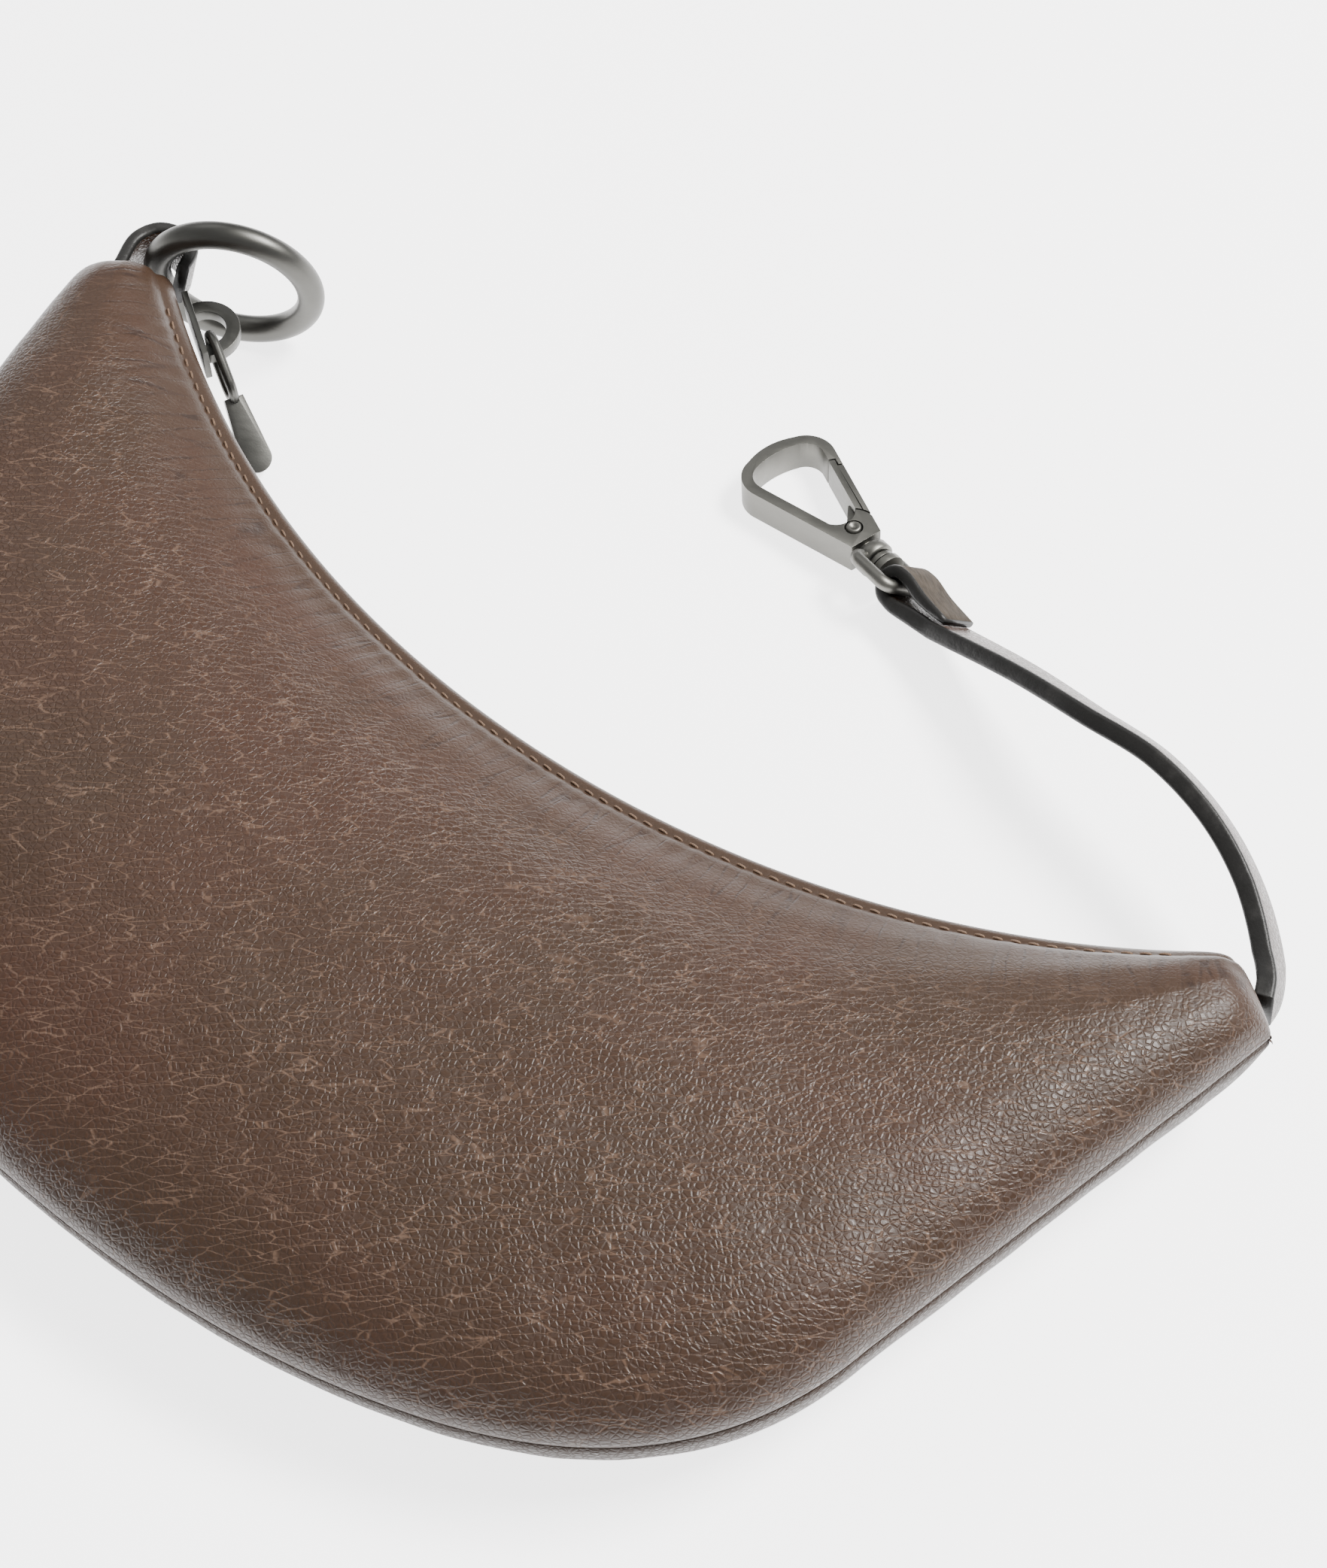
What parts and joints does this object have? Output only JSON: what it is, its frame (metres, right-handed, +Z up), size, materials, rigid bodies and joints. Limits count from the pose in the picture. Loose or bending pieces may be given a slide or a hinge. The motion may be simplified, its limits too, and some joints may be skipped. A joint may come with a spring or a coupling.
{
  "type": "pendant pouch",
  "caption": "Small crescent zip pouch in grained leather, lying on its back, with an O-ring in a leather loop at one tip and a leather strap with a swivel snap hook at the other.",
  "frame": {"origin": "middle of the bounding box's footprint, on the surface that the pouch lies on", "axes": "+X from the tip with the O-ring to the tip with the strap, +Y from the bottom seam towards the zip, +Z up out of the front panel"},
  "size_m": [0.2412, 0.1872, 0.0317],
  "materials": {
    "leather_front": "satin grained leather, mottled brown",
    "leather_back": "satin grained leather, brown",
    "leather_strip": "brown grain with dark painted edges",
    "tape": "matte woven tape",
    "dark_metal": "satin dark plating",
    "grey_metal": "satin grey plating"
  },
  "bodies": {
    "root": {"front_panel": "leather_front", "back_panel": "leather_back", "zip_tape": "tape", "zip_chain": "dark_metal", "zip_slider": "dark_metal", "ring_loop": "leather_strip", "o_ring": "dark_metal", "strap": "leather_strip", "swivel_eye": "grey_metal"},
    "pull": {"zip_pull": "dark_metal"},
    "hook": {"hook_body": "grey_metal", "gate_rivet": "grey_metal"},
    "gate": {"hook_gate": "grey_metal"}
  },
  "joints": [
    {"name": "pull_swing", "type": "hinge", "parent": "root", "child": "pull", "pos_m": [-0.0928, 0.03669, 0.01534], "axis": [0.4317, 0.902, 0.0104], "range_deg": [-115, 60]},
    {"name": "hook_swivel", "type": "hinge", "parent": "root", "child": "hook", "pos_m": [0.01256, 0.07994, 0.00479], "axis": [0.9607, -0.2664, 0.0785], "continuous": true},
    {"name": "gate_press", "type": "hinge", "parent": "hook", "child": "gate", "pos_m": [0.01256, 0.07994, 0.00479], "axis": [-0.0756, 0.021, 0.9969], "range_deg": [0, 25], "stiffness_Nm_per_rad": 0.01, "springref_deg": -11.46}
  ]
}
